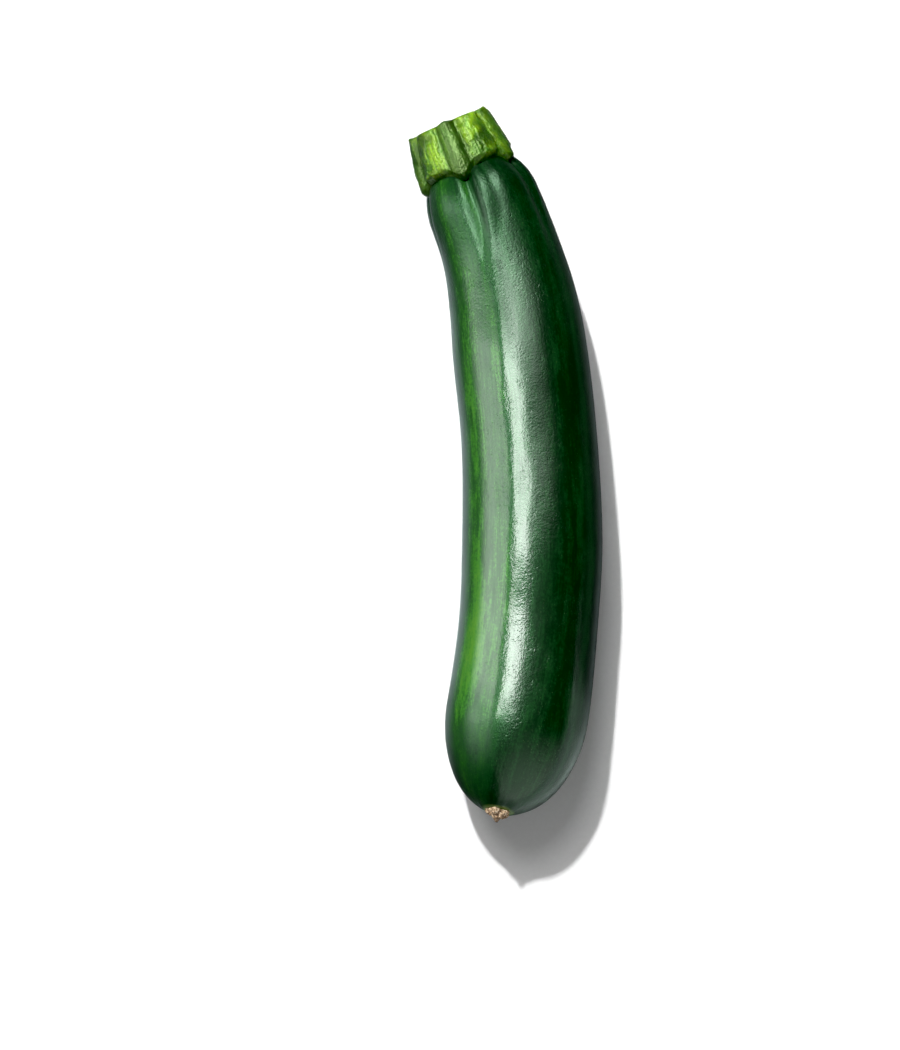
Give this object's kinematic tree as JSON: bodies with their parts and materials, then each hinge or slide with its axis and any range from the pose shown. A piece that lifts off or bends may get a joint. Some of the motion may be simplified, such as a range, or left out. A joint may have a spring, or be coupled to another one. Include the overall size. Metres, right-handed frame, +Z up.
{
  "type": "courgette",
  "caption": "Bent dark green courgette with glossy furrowed skin, a ribbed and cut pale green stalk and a small corky blossom scar; a fresh vegetable lying on its side.",
  "frame": {"origin": "on the surface that the courgette rests on, under the middle of its bounding box", "axes": "+X along the fruit towards the stalk, +Y towards the hollow side of the bend, +Z up from the surface"},
  "size_m": [0.1926, 0.0524, 0.0382],
  "materials": {
    "skin": "waxy, glossy dark green skin with fine pale flecks",
    "stalk_skin": "ribbed, warty, satin light green",
    "cork": "dry, matt tan cork"
  },
  "bodies": {
    "root": {"fruit": "skin", "stalk": "stalk_skin", "blossom_scar": "cork"}
  },
  "joints": []
}
